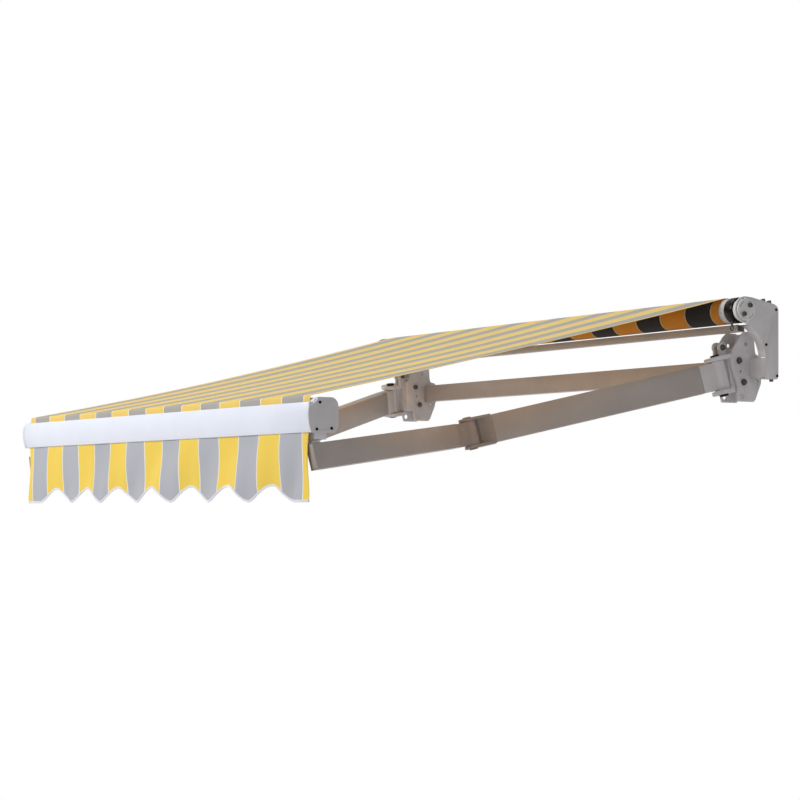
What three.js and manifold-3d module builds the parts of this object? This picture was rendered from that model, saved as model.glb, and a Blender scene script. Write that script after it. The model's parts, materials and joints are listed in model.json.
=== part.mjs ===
// Folding-arm patio awning, 2.0 m wide and 1.5 m out, wall plane at Y = 0, +Z up.
// X runs along the wall (right end is +X), the awning reaches out along -Y.
// The origin is on the wall plane, at the middle of the torsion bar.
import * as THREE from 'three';
import { mergeVertices } from 'three/addons/utils/BufferGeometryUtils.js';
import Module from 'manifold-3d';

const wasm = await Module();
wasm.setup();

// ---------- driving dimensions, millimetres and degrees ----------
const GAP = 0.3;                    // air between touching pieces
const CLOTH_HALF = 1000;            // half the width of the canopy and valance
const LOBE_PITCH = 257;             // one yellow and one grey stripe, and one hem lobe
const LOBES = 8;

const BAR_HALF = 1080;              // torsion bar half length
const BAR_FRONT = -60;
const BAR_BACK = -20;
const BAR_HIGH = 31;                // half of its height
const BAR_WALL = 2.5;

const ROLLER_Y = -142;
const ROLLER_Z = 179;
const TUBE_R = 39;
const TUBE_WALL = 1.5;
const TUBE_HALF = 1026;
const WOUND_R = 41.5;
const PLATE_IN = 1081;              // side plate, inner and outer faces
const PLATE_OUT = 1086;

const PITCH = 10.5;                 // fall of the arms, degrees
const TILT = 8.5;                   // lean of the arm planes, elbows low
const SPREAD = 24.5;                // arm angle with the awning fully out
const LINK = 820;                   // pivot to pivot, both arm links
const SHOULDER = [988, -168, -26];  // shoulder pivot of the right arm
const ELBOW_OFFSET = 24;            // tube centre line beside the elbow pivot

const UPPER_W = 42;                 // upper arm tube section
const UPPER_H = 88;
const FORE_W = 36;                  // forearm tube section
const FORE_H = 74;
const SHOULDER_EAR = 47;            // inner faces of the fork ears
const ELBOW_EAR = 38.6;
const FRONT_REACH = 26;             // how far the forearm tube passes its front pivot

const FRONT_Y = -1637;              // centre of the front bar
const FRONT_Z = -181;
const FRONT_HALF = 1020;
const VALANCE_Y = -1670;
const VALANCE_LOW = -425;
const VALANCE_PEAK = -379;
const GROOVE_Y = -1667;             // cloth groove at the top front of the front bar

// ---------- colours ----------
const finish = (color, roughness, metalness) =>
  new THREE.MeshStandardMaterial({ color, roughness, metalness });
const whiteCoat = finish(0xd9dce6, 0.35, 0.1);
const greyCast = finish(0x98948f, 0.45, 0.2);
const taupeCoat = finish(0x857a72, 0.4, 0.2);
const steel = finish(0xb8b8b8, 0.3, 0.9);
const blackSteel = finish(0x2a2725, 0.4, 0.4);
const blackPlastic = finish(0x1d1c1c, 0.5, 0);
const cloth = finish(0xdcb64e, 0.9, 0);

// ---------- solid helpers ----------
function solid(geometry) {
  const bare = geometry.clone();
  bare.deleteAttribute('normal');
  bare.deleteAttribute('uv');
  const merged = mergeVertices(bare, 1e-4);
  return new wasm.Manifold(new wasm.Mesh({
    numProp: 3,
    vertProperties: new Float32Array(merged.attributes.position.array),
    triVerts: new Uint32Array(merged.index.array),
  }));
}

function join(first, ...others) {
  return others.reduce((sum, other) => sum.add(other), first);
}

function cut(body, ...tools) {
  return tools.reduce((rest, tool) => rest.subtract(tool), body);
}

function box(xs, ys, zs) {
  const size = [xs, ys, zs].map(([a, b]) => b - a);
  const middle = [xs, ys, zs].map(([a, b]) => (a + b) / 2);
  return solid(new THREE.BoxGeometry(...size).translate(...middle));
}

// Round bar along 'x', 'y' or 'z' from one end to the other, through the point `at`.
function round(axis, radius, from, to, at, sides = 18) {
  const shape = new THREE.CylinderGeometry(radius, radius, to - from, sides);
  if (axis === 'x') shape.rotateZ(-Math.PI / 2);
  if (axis === 'z') shape.rotateX(Math.PI / 2);
  const middle = (from + to) / 2;
  if (axis === 'x') shape.translate(middle, at[0], at[1]);
  if (axis === 'y') shape.translate(at[0], middle, at[1]);
  if (axis === 'z') shape.translate(at[0], at[1], middle);
  return solid(shape);
}

// Outline given as [first, second] pairs, extruded along the third axis.
function slab(axis, outline, from, to) {
  const shape = new THREE.Shape(outline.map(([a, b]) => new THREE.Vector2(a, b)));
  const body = new THREE.ExtrudeGeometry(shape, { depth: to - from, bevelEnabled: false });
  const X = new THREE.Vector3(1, 0, 0);
  const Y = new THREE.Vector3(0, 1, 0);
  const Z = new THREE.Vector3(0, 0, 1);
  const turn = new THREE.Matrix4();
  if (axis === 'x') turn.makeBasis(Y, Z, X);
  if (axis === 'y') turn.makeBasis(X, Z, Y.clone().negate());
  body.applyMatrix4(turn);
  if (axis === 'x') body.translate(from, 0, 0);
  if (axis === 'y') body.translate(0, to, 0);
  if (axis === 'z') body.translate(0, 0, from);
  return solid(body);
}

function turned(body, matrix) {
  return body.transform(matrix.elements);
}

const group = new THREE.Group();

function add(name, body, material, parent = group) {
  const data = body.getMesh();
  const geometry = new THREE.BufferGeometry();
  geometry.setAttribute('position', new THREE.BufferAttribute(data.vertProperties, 3));
  geometry.setIndex(new THREE.BufferAttribute(data.triVerts, 1));
  geometry.computeVertexNormals();
  const mesh = new THREE.Mesh(geometry, material);
  mesh.name = name;
  parent.add(mesh);
  return mesh;
}

// Hexagon-headed bolt along X: head at `headX`, shank through to `tipX`, nut inside the tip.
function crossBolt(headX, tipX, y, z, radius, headRadius) {
  const outward = Math.sign(headX - tipX);
  const span = (a, b) => [Math.min(a, b), Math.max(a, b)];
  const head = round('x', headRadius, ...span(headX, headX + 7 * outward), [y, z], 6);
  const washer = round('x', headRadius * 1.15, ...span(headX, headX + 1.6 * outward), [y, z], 16);
  const shank = round('x', radius, ...span(headX + outward, tipX - 8 * outward), [y, z], 12);
  const nut = round('x', headRadius, ...span(tipX, tipX - 6 * outward), [y, z], 6);
  return join(head, washer, shank, nut);
}

// ---------- torsion bar and the rail under the roller ----------
add('torsion_bar', cut(
  box([-BAR_HALF, BAR_HALF], [BAR_FRONT, BAR_BACK], [-BAR_HIGH, BAR_HIGH]),
  box([-BAR_HALF - 1, BAR_HALF + 1],
    [BAR_FRONT + BAR_WALL, BAR_BACK - BAR_WALL],
    [-BAR_HIGH + BAR_WALL, BAR_HIGH - BAR_WALL]),
), taupeCoat);

const RAIL = { front: -146, back: -116, low: 112, high: 134 };
const RAIL_HALF = PLATE_IN - 30 - GAP;
add('tie_rail', cut(
  box([-RAIL_HALF, RAIL_HALF], [RAIL.front, RAIL.back], [RAIL.low, RAIL.high]),
  box([-BAR_HALF - 1, BAR_HALF + 1], [RAIL.front + 2.5, RAIL.back - 2.5],
    [RAIL.low + 2.5, RAIL.high - 2.5]),
  box([-BAR_HALF - 1, BAR_HALF + 1], [RAIL.front + 9, RAIL.back - 9], [RAIL.high - 4, RAIL.high + 1]),
), taupeCoat);

// ---------- side plates ----------
const PLATE_SCREWS = [[-16, 184], [-58, 72], [-14, -26]];
const PLATE_OUTLINE = [
  [-142, 137], [-126, 130], [-103, 113], [-84, 94], [-74, 81], [-66, 62], [-61, 42], [-60, 20],
  [-60, -32], [-55, -37], [-16, -37], [-8, -30], [-6, 186], [-11, 195], [-24, 202],
  [-32, 203], [-114, 219], [-142, 221],
];
const ARC_BAND = [
  [-126, 130.5], [-103, 113], [-84, 94], [-74, 81], [-66, 62], [-61, 42], [-60.5, 33],
  [-56.5, 33], [-57, 42], [-62, 64], [-70.4, 83], [-81, 97], [-100, 116.4], [-123, 134],
];
const TOP_BAND = [[-100, 212], [-32, 199.5], [-24, 198], [-24, 202], [-32, 203.3], [-100, 216]];

function sidePlate(s) {
  const span = (a, b) => (s > 0 ? [a, b] : [-b, -a]);
  const plate = join(
    slab('x', PLATE_OUTLINE, ...span(PLATE_IN, PLATE_OUT)),
    round('x', 42, ...span(PLATE_IN, PLATE_OUT), [ROLLER_Y, ROLLER_Z], 36),
    slab('x', ARC_BAND, ...span(PLATE_IN - 30, PLATE_IN + 1)),
    slab('x', TOP_BAND, ...span(PLATE_IN - 26, PLATE_IN + 1)),
    box(span(PLATE_IN - 30, PLATE_IN + 1), [-56, -8], [-36.5, -32.5]),
  );
  const holes = PLATE_SCREWS.map(([y, z]) => round('x', 3, ...span(PLATE_IN - 1, PLATE_OUT + 1), [y, z], 12));
  return cut(
    plate,
    round('x', 37.4, ...span(PLATE_IN - 1, PLATE_OUT + 1), [ROLLER_Y, ROLLER_Z], 36),
    ...holes,
  );
}

// ---------- wall bracket: plate on the wall, with a block that carries the torsion bar ----------
const WALL_BRACKET = { near: 930, far: 994, plate: 6, half: 36, bolt: 15 };

function wallBracket(s) {
  const xs = s > 0 ? [WALL_BRACKET.near, WALL_BRACKET.far] : [-WALL_BRACKET.far, -WALL_BRACKET.near];
  const middle = (xs[0] + xs[1]) / 2;
  const half = WALL_BRACKET.half;
  return cut(
    join(
      box(xs, [-WALL_BRACKET.plate, 0], [-half, half]),
      box(xs, [BAR_BACK + GAP, -3], [-30, 30]),
    ),
    ...[WALL_BRACKET.bolt, -WALL_BRACKET.bolt].flatMap((z) => [
      round('y', 6, -WALL_BRACKET.plate - 1, 1, [middle, z]),
      round('y', 13, BAR_BACK - 1, -WALL_BRACKET.plate, [middle, z]),
    ]),
  );
}

function wallBolt(s, z) {
  const x = s * (WALL_BRACKET.near + WALL_BRACKET.far) / 2;
  const face = -WALL_BRACKET.plate - GAP;
  return join(
    round('y', 12, face - 2, face, [x, z], 16),
    round('y', 9.5, face - 9, face - 1, [x, z], 6),
    round('y', 5.6, face - 1, -0.4, [x, z], 12),
  );
}

// ---------- shoulder mount: two cheeks that hook over the torsion bar ----------
const CHEEKS = [[916, 924], [1000, 1008]];
const CHEEK_OUTLINE = [
  [-81, 117], [-95, 104], [-106, 89], [-122, 69], [-132, 53], [-138, 37], [-139, 23], [-133, -2],
  [-124, -26], [-116, -45], [-110, -63], [-108, -84], [-102, -106], [-44, -106], [-36, -98],
  [-13, -46], [-12, 40], [-34, 46], [-38, 60], [-42, 117],
];
const PITCH_BOLT = [-104, 24];
const CLAMP_BOLT = [-85, -44];
const TOP_BOLT = [-75, 77];

function shoulderMount(s) {
  const span = ([a, b]) => (s > 0 ? [a, b] : [-b, -a]);
  const whole = span([CHEEKS[0][0], CHEEKS[1][1]]);
  const body = join(
    ...CHEEKS.map((xs) => slab('x', CHEEK_OUTLINE, ...span(xs))),
    box(whole, [-54, -44], [33, 112]),
    box(whole, [-58, -14], [BAR_HIGH + GAP, BAR_HIGH + 7]),
    box(whole, [-58, -14], [-BAR_HIGH - 7, -BAR_HIGH - GAP]),
    box(whole, [-54, -44], [-100, -BAR_HIGH - 3]),
  );
  const through = span([900, 1020]);
  return cut(
    body,
    box(through, [BAR_FRONT - GAP, 1], [-BAR_HIGH - GAP, BAR_HIGH + GAP]),
    round('x', 7, ...through, PITCH_BOLT),
    round('x', 7, ...through, CLAMP_BOLT),
    round('x', 7, ...through, TOP_BOLT),
    round('x', 4, ...through, [-97, -10], 12),
    round('x', 9, ...through, [-92, -88]),
    round('x', 5, ...through, [-30, -38.5], 12),
  );
}

// ---------- arm geometry ----------
const rad = THREE.MathUtils.degToRad;

// Directions of one arm plane: out from the wall, in towards the middle, and their normal.
function armPlane(s) {
  const p = rad(PITCH);
  const t = rad(TILT);
  const out = new THREE.Vector3(0, -Math.cos(p), -Math.sin(p));
  const down = new THREE.Vector3(0, Math.sin(p), -Math.cos(p));
  const inward = new THREE.Vector3(-s * Math.cos(t), 0, 0).addScaledVector(down, Math.sin(t));
  return { out, inward };
}

function frameOf(origin, xDirection, yDirection) {
  const normal = new THREE.Vector3().crossVectors(xDirection, yDirection);
  const matrix = new THREE.Matrix4().makeBasis(xDirection, yDirection, normal);
  matrix.setPosition(origin);
  return matrix;
}

function mix(a, x, b, y) {
  return new THREE.Vector3().addScaledVector(a, x).addScaledVector(b, y);
}

// ---------- shoulder fork: ears for the arm, a tongue between the cheeks, two lugs ----------
const EAR_T = 13;                   // ear thickness at the shoulder, and at the elbow
const EAR_LOW = 9;

function shoulderFork(s, plane, pivot) {
  const frame = frameOf(pivot, plane.out, plane.inward);
  const outer = SHOULDER_EAR + EAR_T;
  const earOutline = [[-46, -34], [0, -36], [0, 36], [-46, 34]];
  const ear = (from, to) => join(
    round('z', 36, from, to, [0, 0], 32),
    slab('z', earOutline, from, to),
  );
  const ears = turned(join(
    ear(SHOULDER_EAR, outer),
    ear(-outer, -SHOULDER_EAR),
    box([-46, -34], [-34, 34], [-outer, outer]),
  ), frame);
  const span = (a, b) => (s > 0 ? [a, b] : [-b, -a]);
  const lugs = [span(944, 952), span(970, 978)].map((xs) => join(
    round('x', 17, ...xs, [-146, 66]),
    box(xs, [-158, -134], [26, 66]),
  ));
  const tongue = slab('x', [[-134, -64], [-134, 44], [-112, 62], [-70, 62], [-66, 40], [-66, -56], [-92, -66]],
    ...span(CHEEKS[0][1] + 1, CHEEKS[1][0] - 1));
  const relief = turned(cut(
    round('z', 33, -SHOULDER_EAR, SHOULDER_EAR, [0, 0], 32),
  ), frame);
  const bore = turned(round('z', 10.5, -90, 90, [0, 0]), frame);
  const through = span(900, 1020);
  return cut(
    join(ears, cut(tongue, relief), ...lugs),
    bore,
    round('x', 7, ...through, PITCH_BOLT),
    round('x', 7, ...through, CLAMP_BOLT),
    round('x', 5.6, ...through, [-146, 66]),
    box(span(CHEEKS[1][0] - 0.5, 1040), [-142, 0], [-90, 60]),
  );
}

function pivotPin(radius, reach, headRadius, head = 7) {
  return join(
    round('z', radius, -reach - 1, reach + 1, [0, 0]),
    round('z', headRadius, reach + GAP, reach + head, [0, 0]),
    round('z', headRadius, -reach - head, -reach - GAP, [0, 0]),
  );
}

function tube(from, to, width, height, wall) {
  return cut(
    box([from, to], [-width / 2, width / 2], [-height / 2, height / 2]),
    box([from - 1, to + 1], [-width / 2 + wall, width / 2 - wall], [-height / 2 + wall, height / 2 - wall]),
  );
}

// A plug that slides into the end of a tube.
function plug(from, to, width, height, wall) {
  const y = width / 2 - wall - GAP;
  const z = height / 2 - wall - GAP;
  return box([from, to], [-y, y], [-z, z]);
}

function coilSpring(from, to, radius, wire, turns) {
  class Helix extends THREE.Curve {
    getPoint(t) {
      const a = 2 * Math.PI * turns * t;
      return new THREE.Vector3(from + (to - from) * t, radius * Math.cos(a), radius * Math.sin(a));
    }
  }
  const section = new THREE.Shape();
  section.absarc(0, 0, wire / 2, 0, 2 * Math.PI);
  const points = section.getPoints(5).slice(0, 5);
  return solid(new THREE.ExtrudeGeometry(new THREE.Shape(points), {
    steps: turns * 10, extrudePath: new Helix(), bevelEnabled: false,
  }));
}

const UPPER_WALL = 2.5;
const FORE_WALL = 2.2;

function buildArm(s) {
  const side = s > 0 ? 'right' : 'left';
  const plane = armPlane(s);
  const pivot = new THREE.Vector3(s * SHOULDER[0], SHOULDER[1], SHOULDER[2]);
  const a = rad(SPREAD);
  const along = mix(plane.out, Math.cos(a), plane.inward, Math.sin(a));
  const across = mix(plane.out, -Math.sin(a), plane.inward, Math.cos(a));
  const foreAlong = mix(plane.out, Math.cos(a), plane.inward, -Math.sin(a));
  const foreAcross = mix(plane.out, Math.sin(a), plane.inward, Math.cos(a));
  const elbow = pivot.clone().addScaledVector(along, LINK);
  const front = elbow.clone().addScaledVector(foreAlong, LINK);

  add(`${side}_shoulder_fork`, shoulderFork(s, plane, pivot), greyCast);

  // upper arm, x from the shoulder pivot to the elbow pivot
  const upper = new THREE.Group();
  upper.applyMatrix4(frameOf(pivot, along, across));
  group.add(upper);
  add(`${side}_shoulder_pin`, pivotPin(10, SHOULDER_EAR + EAR_T, 14.5), blackSteel, upper);
  const lean = new THREE.Matrix4().makeRotationZ(Math.atan2(ELBOW_OFFSET, LINK));
  const hub = SHOULDER_EAR - 0.6;
  add(`${side}_shoulder_knuckle`, cut(
    join(
      round('z', 25, -hub, hub, [0, 0], 32),
      turned(box([0, 62], [-20, 20], [-43, 43]), lean),
      turned(plug(61, 112, UPPER_W, UPPER_H, UPPER_WALL), lean),
    ),
    round('z', 10.5, -60, 60, [0, 0]),
  ), greyCast, upper);
  add(`${side}_upper_arm_tube`,
    turned(tube(62 + GAP, LINK - 78, UPPER_W, UPPER_H, UPPER_WALL), lean), taupeCoat, upper);
  add(`${side}_arm_spring`,
    turned(coilSpring(130, LINK - 140, 13, 4, 12), lean), steel, upper);
  const earPlan = [
    [LINK - 76, 2.5], [LINK - 10, -25], [LINK, -27], [LINK + 8, 25], [LINK - 34, 43], [LINK - 76, 43],
  ];
  const elbowEar = (from, to) => join(
    slab('z', earPlan, from, to),
    round('z', 27, from, to, [LINK, 0], 32),
  );
  add(`${side}_elbow_fork`, cut(
    join(
      turned(plug(LINK - 128, LINK - 77, UPPER_W, UPPER_H, UPPER_WALL), lean),
      cut(
        turned(box([LINK - 78 + GAP, LINK - 22], [-UPPER_W / 2, UPPER_W / 2], [-44, 44]), lean),
        round('z', 33, -ELBOW_EAR, ELBOW_EAR, [LINK, 0], 36),
      ),
      elbowEar(ELBOW_EAR, ELBOW_EAR + EAR_LOW),
      elbowEar(-ELBOW_EAR - EAR_LOW, -ELBOW_EAR),
    ),
    round('z', 10, -80, 80, [LINK, 0]),
  ), greyCast, upper);
  const elbowPin = pivotPin(9.5, ELBOW_EAR + EAR_LOW, 13.5, 4);
  add(`${side}_elbow_pin`, elbowPin.translate([LINK, 0, 0]), blackSteel, upper);

  // forearm, x from the elbow pivot to the front pivot
  const fore = new THREE.Group();
  fore.applyMatrix4(frameOf(elbow, foreAlong, foreAcross));
  group.add(fore);
  const drift = new THREE.Matrix4().makeRotationZ(-Math.atan2(ELBOW_OFFSET, LINK));
  drift.setPosition(0, ELBOW_OFFSET, 0);
  const foreHub = ELBOW_EAR - 0.5;
  const neck = [[0, -24], [44, 5], [60, 5], [60, 41], [36, 41], [0, 24]];
  add(`${side}_elbow_knuckle`, cut(
    join(
      round('z', 24, -foreHub, foreHub, [0, 0], 32),
      slab('z', neck, -36, 36),
      turned(plug(57, 108, FORE_W, FORE_H, FORE_WALL), drift),
    ),
    round('z', 10, -60, 60, [0, 0]),
  ), greyCast, fore);
  // the tube runs on past the front pivot and is cut off square to the canopy's travel
  const bevel = new THREE.Matrix4().makeRotationZ(a);
  bevel.setPosition(LINK, 0, 0);
  const beyond = (reach) => turned(box([reach, 200], [-100, 100], [-50, 50]), bevel);
  const frontBore = round('z', 9, -60, 60, [LINK, 0]);
  add(`${side}_forearm_tube`, cut(
    turned(tube(61, LINK + 60, FORE_W, FORE_H, FORE_WALL), drift),
    beyond(FRONT_REACH),
    frontBore,
  ), taupeCoat, fore);
  add(`${side}_front_knuckle`, cut(
    turned(plug(LINK - 70, LINK + 60, FORE_W, FORE_H, FORE_WALL), drift),
    beyond(FRONT_REACH - 1),
    frontBore,
  ), greyCast, fore);

  // bracket under the front bar: a block with a boss and a plate over the forearm's end
  const tip = frameOf(front, plane.out, plane.inward);
  const under = FRONT_Z - 50 - GAP;
  const xs = s > 0 ? [970, 1006] : [-1006, -970];
  const top = FORE_H / 2;
  const rising = (from, to) => (s > 0 ? [-to, -from] : [from, to]);   // the arm frames are mirrored
  add(`${side}_bar_bracket`, cut(
    join(
      turned(join(
        round('z', 18, ...rising(top + 0.8, top + 7), [0, 0], 32),
        round('z', 14, ...rising(top + 6, top + 20), [0, 0], 32),
      ), tip),
      box(xs, [-1654, -1616], [-250, under]),
    ),
    turned(round('z', 9, ...rising(-70, top + 15), [0, 0]), tip),
  ), greyCast);
  add(`${side}_front_pin`,
    turned(round('z', 8.5, ...rising(-top + 1, top + 13), [0, 0]), tip), blackSteel);
  return { pivot, elbow, front };
}

// ---------- roller, its end fittings and the cloth wound on it ----------
const axis = [ROLLER_Y, ROLLER_Z];
add('roller_tube', cut(
  round('x', TUBE_R, -TUBE_HALF, TUBE_HALF, axis, 36),
  round('x', TUBE_R - TUBE_WALL, -TUBE_HALF - 1, TUBE_HALF + 1, axis, 36),
), steel);
add('wound_cloth', cut(
  round('x', WOUND_R, -CLOTH_HALF, CLOTH_HALF, axis, 36),
  round('x', TUBE_R + GAP, -CLOTH_HALF - 1, CLOTH_HALF + 1, axis, 36),
), cloth);

function sidewise(s, from, to) {
  return s > 0 ? [from, to] : [-to, -from];
}

function rollerPlug(s) {
  return join(
    round('x', TUBE_R - TUBE_WALL - GAP - 0.2, ...sidewise(s, 970, TUBE_HALF), axis, 40),
    round('x', 9, ...sidewise(s, TUBE_HALF - 2, 1064), axis),
  );
}

function endCase(s) {
  const shell = join(
    round('x', 41, ...sidewise(s, 1030, 1065), axis, 36),
    round('x', 38, ...sidewise(s, TUBE_HALF + GAP, 1032), axis, 36),
  );
  const stem = s > 0 ? [round('z', 4.6, 130, 150, [1044, -162])] : [];
  return cut(shell, round('x', 9.6, ...sidewise(s, 1000, 1070), axis), ...stem);
}

function endFlange(s) {
  const face = 1092;
  const disc = round('x', 35.5, ...sidewise(s, 1065 + GAP, face), axis, 36);
  const slots = [0, 1, 2, 3].map((i) => {
    const steps = 6;
    const start = rad(20 + 90 * i);
    const arc = (radius, k) => {
      const angle = start + rad(50) * k / steps;
      return [ROLLER_Y + radius * Math.cos(angle), ROLLER_Z + radius * Math.sin(angle)];
    };
    const rim = [];
    for (let k = 0; k <= steps; k += 1) rim.push(arc(30, k));
    for (let k = steps; k >= 0; k -= 1) rim.push(arc(24.5, k));
    return slab('x', rim, ...sidewise(s, face - 5, face + 1));
  });
  return cut(disc, ...slots, ...FLANGE_BOLTS.map((at) => round('x', 4.5, ...sidewise(s, 1075, 1099), at)));
}

const FLANGE_BOLTS = [[-130, 193], [-154, 165]];

function flangeBolt(s, at) {
  const [a, b] = sidewise(s, 1092 + GAP, 1099);
  return cut(
    join(
      round('x', 7.5, a, b, at),
      round('x', 4, ...sidewise(s, 1076, 1094), at),
    ),
    round('x', 3.6, ...sidewise(s, 1096, 1101), at, 6),
  );
}

// Eye that the crank handle hooks into, on the worm shaft under the gear case.
function crankEye() {
  const ring = new THREE.TorusGeometry(7, 2.3, 10, 20);
  ring.rotateX(Math.PI / 2);
  ring.translate(1044, -162, 122);
  return join(solid(ring), round('z', 4, 128, 149, [1044, -162]));
}

// ---------- front bar ----------
// Outline of the hollow front profile: bowed front, flat top and bottom, round back.
function frontOutline(inset) {
  const shape = new THREE.Shape();
  const i = inset;
  shape.moveTo(-39 + i, 49 - i);
  shape.quadraticCurveTo(-59 + i * 1.4, 0, -39 + i, -50 + i);
  shape.lineTo(30 - i, -50 + i);
  shape.quadraticCurveTo(47 - i, -46 + i, 47 - i, -24);
  shape.lineTo(47 - i, 22);
  shape.quadraticCurveTo(46 - i, 44 - i, 26, 49 - i);
  return shape.getPoints(8).map((v) => [v.x + FRONT_Y, v.y + FRONT_Z]);
}

const TOP_GROOVE = [GROOVE_Y, FRONT_Z + 27];
const LOW_GROOVE = [VALANCE_Y, FRONT_Z - 50 + 9];

function frontBar() {
  const length = [-FRONT_HALF, FRONT_HALF];
  const longer = [-FRONT_HALF - 1, FRONT_HALF + 1];
  const skin = cut(
    slab('x', frontOutline(0), ...length),
    slab('x', frontOutline(2.6), ...longer),
  );
  const channels = [TOP_GROOVE, LOW_GROOVE].map((at) => round('x', 8.4, ...length, at));
  const whole = slab('x', frontOutline(0), ...length);
  const local = (points) => points.map(([y, z]) => [FRONT_Y + y, FRONT_Z + z]);
  const step = slab('x', local([[-60, 36], [-33, 36], [-27, 41], [-21, 50], [-21, 60], [-60, 60]]), ...longer);
  const slope = slab('x', local([[-38, 36], [-33, 36], [-27, 41], [-21, 49], [-17, 49], [-25, 37.5], [-30, 33], [-38, 33]]),
    ...length);
  return cut(
    join(skin, slope, ...channels.map((channel) => channel.intersect(whole))),
    step,
    round('x', 5.4, ...longer, TOP_GROOVE),
    round('x', 5.4, ...longer, LOW_GROOVE),
    box(longer, [GROOVE_Y - 2, GROOVE_Y + 2], [TOP_GROOVE[1], FRONT_Z + 56]),
    box(longer, [VALANCE_Y - 2, VALANCE_Y + 2], [FRONT_Z - 58, LOW_GROOVE[1]]),
  );
}

// The caps leave the corner at the cloth groove open, so that the hem rod can slide in.
const CAP_NOTCH = [[-60, 24], [-47, 24], [-34, 31], [-22, 41], [-18, 60], [-60, 60]];
const CAP_SCREWS = [[-1650, -146], [-1660, -222], [-1612, -219]];

function endCap(s) {
  const [a, b] = sidewise(s, FRONT_HALF + GAP, FRONT_HALF + 8);
  const holes = CAP_SCREWS.map((at) => round('x', 2.6, ...sidewise(s, FRONT_HALF - 1, FRONT_HALF + 10), at, 12));
  const corner = CAP_NOTCH.map(([y, z]) => [FRONT_Y + y, FRONT_Z + z]);
  return cut(slab('x', frontOutline(-1), a, b), slab('x', corner, a - 1, b + 1), ...holes);
}

// ---------- canopy and valance ----------
// Side view of the cloth from the top of the roller down to the groove, slightly slack.
function canopyPath() {
  const start = [ROLLER_Y - 9.6, ROLLER_Z + WOUND_R + 0.2];
  const end = [GROOVE_Y + 6, FRONT_Z + 49.6];
  const sag = 9;
  const steps = 12;
  const path = [];
  for (let k = 0; k <= steps; k += 1) {
    const t = k / steps;
    path.push([
      start[0] + (end[0] - start[0]) * t,
      start[1] + (end[1] - start[1]) * t - sag * 4 * t * (1 - t),
    ]);
  }
  return path;
}

function canopy() {
  const path = canopyPath();
  const thick = 1.6;
  const top = path.map(([y, z]) => [y, z + thick]);
  const lip = [
    [GROOVE_Y - 0.8, FRONT_Z + 48], [GROOVE_Y - 0.8, TOP_GROOVE[1]],
    [GROOVE_Y + 0.8, TOP_GROOVE[1]], [GROOVE_Y + 0.8, FRONT_Z + 47],
  ];
  const outline = [...path.slice().reverse(), ...top, ...lip];
  return join(
    slab('x', outline, -CLOTH_HALF, CLOTH_HALF),
    round('x', 4.6, -CLOTH_HALF, CLOTH_HALF, TOP_GROOVE, 16),
  );
}

// Height of the scalloped hem: wide arches over every second stripe, narrower lobes between
// them, and a level hem beyond the outermost lobes.
function hemHeight(x) {
  const phase = x / LOBE_PITCH + (LOBES - 1) / 2;
  if (phase < 0 || phase > LOBES - 1) return VALANCE_LOW;
  const arch = 0.5 - 0.5 * Math.cos(2 * Math.PI * phase);
  return VALANCE_LOW + (VALANCE_PEAK - VALANCE_LOW) * arch ** 0.9;
}

function valance() {
  const steps = 96;
  const hem = [];
  for (let k = 0; k <= steps; k += 1) {
    const x = -CLOTH_HALF + 2 * CLOTH_HALF * k / steps;
    hem.push([x, hemHeight(x)]);
  }
  const outline = [...hem, [CLOTH_HALF, LOW_GROOVE[1]], [-CLOTH_HALF, LOW_GROOVE[1]]];
  return join(
    slab('y', outline, VALANCE_Y - 0.8, VALANCE_Y + 0.8),
    round('x', 4.6, -CLOTH_HALF, CLOTH_HALF, LOW_GROOVE, 16),
  );
}

// ---------- assembly ----------
for (const [side, s] of [['right', 1], ['left', -1]]) {
  add(`${side}_side_plate`, sidePlate(s), greyCast);
  add(`${side}_wall_bracket`, wallBracket(s), greyCast);
  add(`${side}_wall_bolt_upper`, wallBolt(s, WALL_BRACKET.bolt), steel);
  add(`${side}_wall_bolt_lower`, wallBolt(s, -WALL_BRACKET.bolt), steel);
  add(`${side}_shoulder_mount`, shoulderMount(s), greyCast);
  add(`${side}_pitch_bolt`,
    crossBolt(s * (1008 + GAP), s * (916 - GAP), ...PITCH_BOLT, 6.4, 9.5), steel);
  add(`${side}_clamp_bolt`,
    crossBolt(s * (1008 + GAP), s * (916 - GAP), ...CLAMP_BOLT, 6.4, 9.5), steel);
  add(`${side}_lug_bolt`,
    crossBolt(s * (978 + GAP), s * (944 - GAP), -146, 66, 5.2, 8.5), steel);
  buildArm(s);
  add(`${side}_roller_plug`, rollerPlug(s), blackPlastic);
  add(`${side}_end_flange`, endFlange(s), greyCast);
  add(`${side}_bar_end_cap`, endCap(s), greyCast);
}
add('gear_case', endCase(1), blackPlastic);
add('bearing_case', endCase(-1), blackPlastic);
add('gear_bolt_upper', flangeBolt(1, FLANGE_BOLTS[0]), steel);
add('gear_bolt_lower', flangeBolt(1, FLANGE_BOLTS[1]), steel);
add('crank_eye', crankEye(), steel);
add('front_bar', frontBar(), whiteCoat);
add('canopy', canopy(), cloth);
add('valance', valance(), cloth);

export default group;
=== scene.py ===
"""Looks of the folding-arm awning: striped canvas, powder-coated arms and castings, front bar and valance.

Lengths are metres in the CAD frame: X along the wall, Y into the wall, Z up.
"""
import json
import math

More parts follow.
